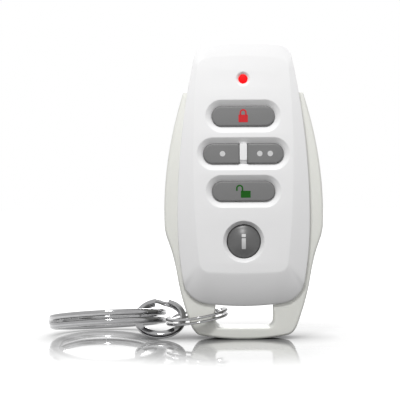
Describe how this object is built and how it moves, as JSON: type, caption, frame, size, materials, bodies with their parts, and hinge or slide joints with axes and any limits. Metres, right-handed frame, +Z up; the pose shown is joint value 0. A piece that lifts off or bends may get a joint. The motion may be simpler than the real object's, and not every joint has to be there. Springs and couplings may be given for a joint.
{
  "type": "alarm key fob",
  "caption": "Wireless alarm key fob with flat push keys, a round info key and an indicator light, on a frosted frame whose lower loop carries linked split rings.",
  "frame": {"origin": "middle of the small flat foot under the key loop, on the plane where the two covers meet", "axes": "+Z up the fob from the loop to the indicator, -Y out of the front face, +X to the right seen from the front"},
  "size_m": [0.0601, 0.026, 0.0633],
  "materials": {
    "white_cover": "smooth white moulded plastic with a soft sheen",
    "frosted_frame": "frosted, slightly translucent pale plastic",
    "grey_key": "mid grey satin plastic",
    "gloss_key": "dark grey glossy domed plastic",
    "switch_black": "black moulded plastic",
    "switch_stem": "natural plastic",
    "red_lens": "clear red plastic, lit",
    "diode": "clear resin on a white base",
    "board_green": "green solder resist",
    "chip_black": "black resin package",
    "can_metal": "plain metal can",
    "copper": "bare copper",
    "cell_metal": "plain steel can",
    "spring_metal": "nickel-plated spring strip",
    "screw_steel": "zinc-plated steel",
    "ring_chrome": "bright polished plating"
  },
  "bodies": {
    "case": {"front_cover": "white_cover", "rear_cover": "white_cover", "loop_frame": "frosted_frame", "arm_switch": "switch_black", "option_one_switch": "switch_black", "option_two_switch": "switch_black", "disarm_switch": "switch_black", "info_switch": "switch_black", "indicator_lens": "red_lens", "indicator_led": "diode", "circuit_board": "board_green", "controller_chip": "chip_black", "radio_chip": "chip_black", "crystal": "can_metal", "antenna": "copper", "coin_cell": "cell_metal", "battery_clip": "spring_metal", "battery_contact": "spring_metal", "case_screws": "screw_steel"},
    "arm_button": {"arm_key": "grey_key", "arm_stem": "switch_stem"},
    "option_one_button": {"option_one_key": "grey_key", "option_one_stem": "switch_stem"},
    "option_two_button": {"option_two_key": "grey_key", "option_two_stem": "switch_stem"},
    "disarm_button": {"disarm_key": "grey_key", "disarm_stem": "switch_stem"},
    "info_button": {"info_key": "gloss_key", "info_stem": "switch_stem"},
    "loop_ring_body": {"loop_ring": "ring_chrome"},
    "link_ring_body": {"link_ring": "ring_chrome"},
    "key_ring_body": {"key_ring": "ring_chrome"}
  },
  "joints": [
    {"name": "arm_press", "type": "slide", "parent": "case", "child": "arm_button", "axis": [0, 1, 0], "range_m": [0, 0.0006], "stiffness_N_per_m": 400},
    {"name": "option_one_press", "type": "slide", "parent": "case", "child": "option_one_button", "axis": [0, 1, 0], "range_m": [0, 0.0006], "stiffness_N_per_m": 400},
    {"name": "option_two_press", "type": "slide", "parent": "case", "child": "option_two_button", "axis": [0, 1, 0], "range_m": [0, 0.0006], "stiffness_N_per_m": 400},
    {"name": "disarm_press", "type": "slide", "parent": "case", "child": "disarm_button", "axis": [0, 1, 0], "range_m": [0, 0.0006], "stiffness_N_per_m": 400},
    {"name": "info_press", "type": "slide", "parent": "case", "child": "info_button", "axis": [0, 1, 0], "range_m": [0, 0.0006], "stiffness_N_per_m": 400},
    {"name": "loop_ring_swing", "type": "hinge", "parent": "case", "child": "loop_ring_body", "pos_m": [-0.01026, 0, 0.0046], "axis": [-0.1563, -0.0349, 0.9871], "range_deg": [-8, 25]},
    {"name": "link_ring_swing", "type": "hinge", "parent": "loop_ring_body", "child": "link_ring_body", "pos_m": [-0.01643, 0.00035, 0.00363], "axis": [-0.05, -0.9978, -0.043], "range_deg": [-15, 15]},
    {"name": "key_ring_turn", "type": "hinge", "parent": "link_ring_body", "child": "key_ring_body", "pos_m": [-0.0302, 0.0047, 0.00357], "axis": [-0.0518, 0.1392, 0.9889], "continuous": true}
  ]
}
